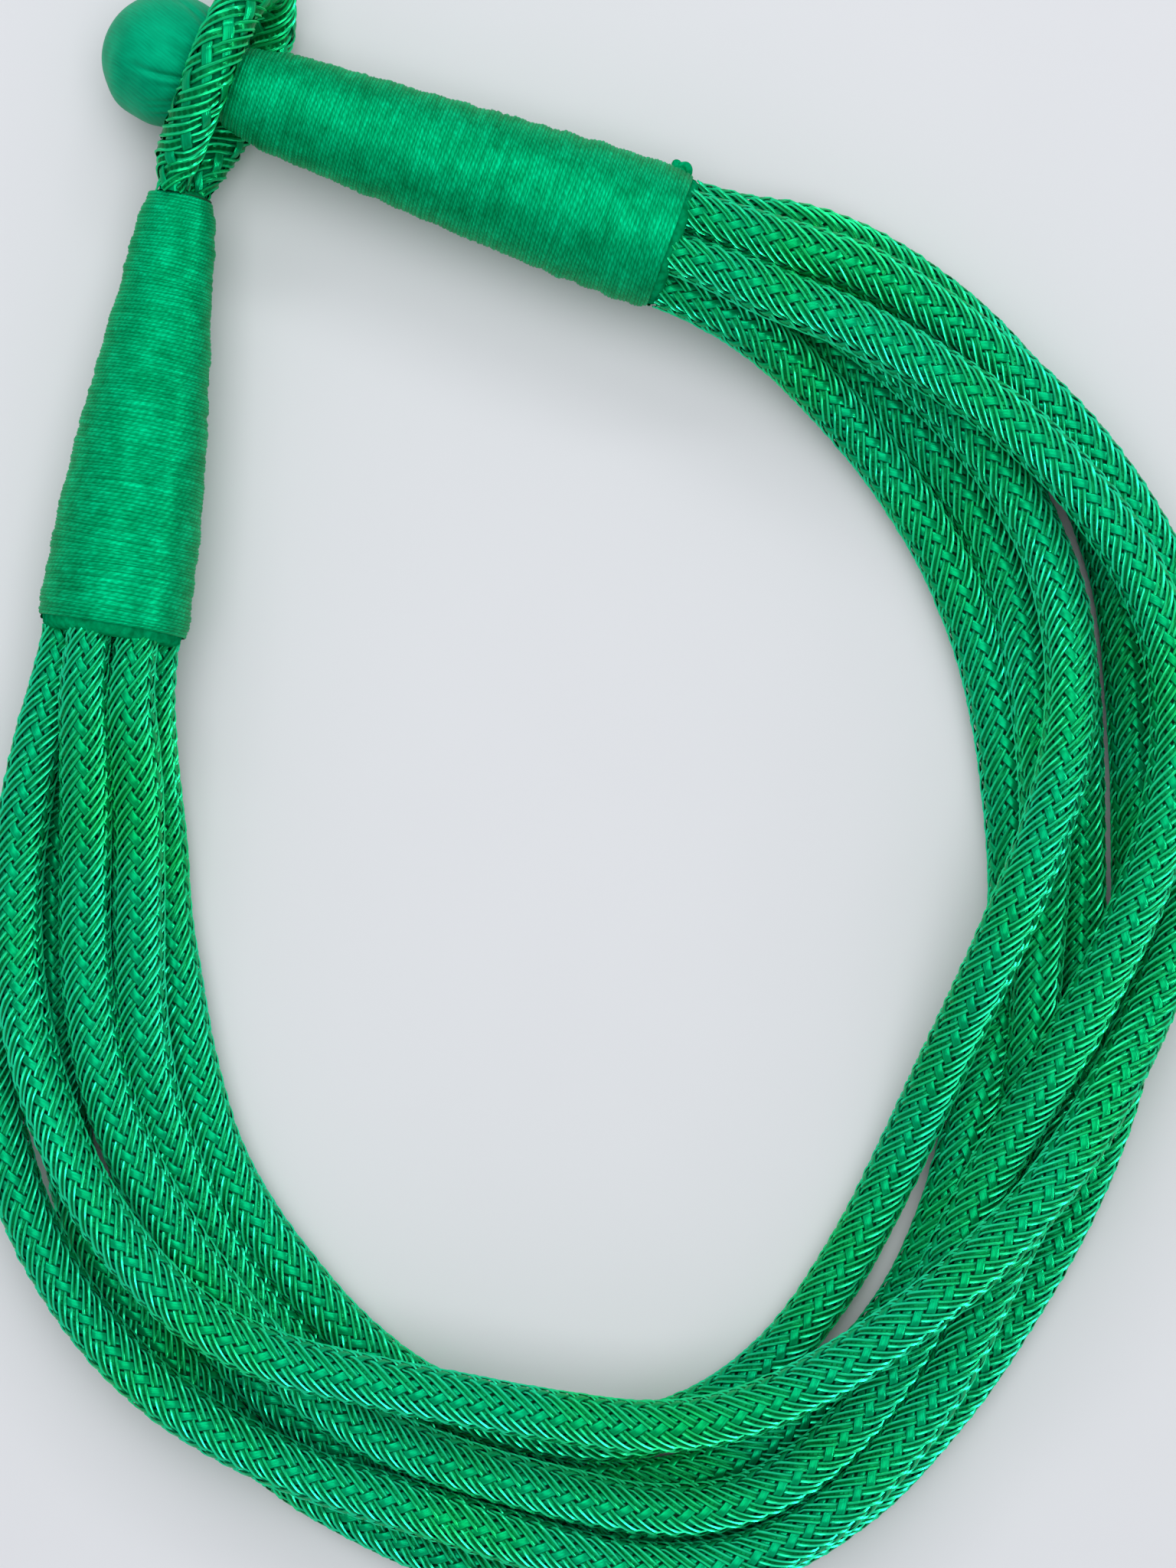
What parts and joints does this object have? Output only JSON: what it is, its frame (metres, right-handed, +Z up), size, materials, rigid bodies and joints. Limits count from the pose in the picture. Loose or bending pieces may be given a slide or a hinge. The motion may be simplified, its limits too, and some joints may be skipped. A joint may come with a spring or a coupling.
{
  "type": "multi-strand cord necklace",
  "caption": "Multi-strand braided mesh cord necklace with two tapered thread-whipped ends, a cord loop and a satin-covered ball button clasp.",
  "frame": {"origin": "on the surface it lies on, under the middle of its outline", "axes": "+Z up from the surface it lies on, +Y towards the clasp, +X towards the side of the ring opposite the loop end's whipping"},
  "size_m": [0.1908, 0.2486, 0.0252],
  "materials": {
    "mesh_cord": "glossy flat ribbon braid, translucent emerald green",
    "cord_core": "soft filler, dark green",
    "winding_thread": "close-wound lustrous thread, emerald green",
    "satin": "satin weave, emerald green",
    "bead_wood": "plain turned, hidden under the cover"
  },
  "bodies": {
    "necklace": {"strand_1_sleeve": "mesh_cord", "strand_2_sleeve": "mesh_cord", "strand_3_sleeve": "mesh_cord", "strand_4_sleeve": "mesh_cord", "strand_5_sleeve": "mesh_cord", "strand_6_sleeve": "mesh_cord", "strand_7_sleeve": "mesh_cord", "strand_1_core": "cord_core", "strand_2_core": "cord_core", "strand_3_core": "cord_core", "strand_4_core": "cord_core", "strand_5_core": "cord_core", "strand_6_core": "cord_core", "strand_7_core": "cord_core", "clasp_loop_sleeve": "mesh_cord", "clasp_loop_core": "cord_core", "loop_leg_ends": "cord_core", "button_end_gathered_strands": "cord_core", "loop_end_gathered_strands": "cord_core", "button_end_whipping": "winding_thread", "loop_end_whipping": "winding_thread", "whipping_knot": "winding_thread", "button_shank": "cord_core"},
    "button": {"button_cover": "satin", "button_bead": "bead_wood"}
  },
  "joints": [
    {"name": "button_turn", "type": "hinge", "parent": "necklace", "child": "button", "pos_m": [-0.0546, 0.1058, 0.0136], "axis": [0.8574, -0.4019, 0.3215], "range_deg": [-30, 30]}
  ]
}
